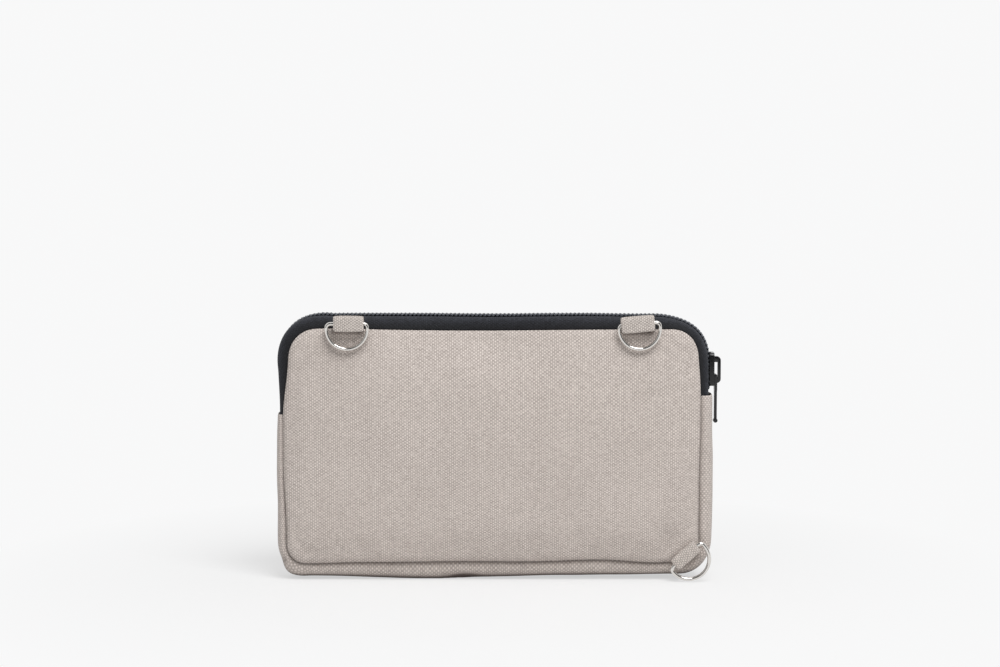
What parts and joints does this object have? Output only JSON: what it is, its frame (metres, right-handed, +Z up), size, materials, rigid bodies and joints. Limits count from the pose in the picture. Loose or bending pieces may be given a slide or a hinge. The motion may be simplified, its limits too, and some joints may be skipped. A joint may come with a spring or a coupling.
{
  "type": "neck pouch wallet",
  "caption": "Zip pouch of padded canvas with a gusset, rounded upper corners, a zipper over the top and D-rings in webbing tabs for a neck strap.",
  "frame": {"origin": "middle of the flat base the pouch stands on", "axes": "+Z up, +X along the width towards the parked slider, the panel with the rings faces -Y"},
  "size_m": [0.1837, 0.0264, 0.1102],
  "materials": {
    "canvas": "matte plain weave",
    "tape": "matte woven tape",
    "coil": "satin nylon",
    "slider": "satin black",
    "ring": "polished nickel",
    "padding": "soft felt",
    "lining": "smooth",
    "binding": "matte tape"
  },
  "bodies": {
    "pouch": {"back_panel": "canvas", "front_panel": "canvas", "gusset_strip": "canvas", "strap_tab_left": "canvas", "strap_tab_right": "canvas", "strap_tab_lower": "canvas", "zipper_tape_back": "tape", "zipper_tape_front": "tape", "zipper_coil_back": "coil", "zipper_coil_front": "coil", "padding_back": "padding", "padding_front": "padding", "lining_back": "lining", "lining_front": "lining", "lining_gusset": "lining", "card_pocket": "lining", "seam_binding_back": "binding", "seam_binding_front": "binding"},
    "slider": {"slider_body": "slider"},
    "pull": {"pull_tab": "slider"},
    "ring_left": {"d_ring_left": "ring"},
    "ring_right": {"d_ring_right": "ring"},
    "ring_lower": {"d_ring_lower": "ring"}
  },
  "joints": [
    {"name": "slider_round_corner", "type": "hinge", "parent": "pouch", "child": "slider", "pos_m": [0.0664, 0, 0.0872], "axis": [0, -1, 0], "range_deg": [0, 90]},
    {"name": "pull_swing", "type": "hinge", "parent": "slider", "child": "pull", "pos_m": [0.0916, 0, 0.0845], "axis": [0, -1, 0], "range_deg": [0, 100]},
    {"name": "ring_left_swing", "type": "hinge", "parent": "pouch", "child": "ring_left", "pos_m": [-0.0603, -0.0124, 0.1068], "axis": [-1, 0, 0], "range_deg": [-3, 170]},
    {"name": "ring_right_swing", "type": "hinge", "parent": "pouch", "child": "ring_right", "pos_m": [0.0592, -0.0124, 0.1068], "axis": [-0.9962, 0, -0.0872], "range_deg": [-3, 170]},
    {"name": "ring_lower_swing", "type": "hinge", "parent": "pouch", "child": "ring_lower", "pos_m": [0.0788, -0.0124, 0.0111], "axis": [-0.7431, 0, -0.6691], "range_deg": [-8, 150]}
  ]
}
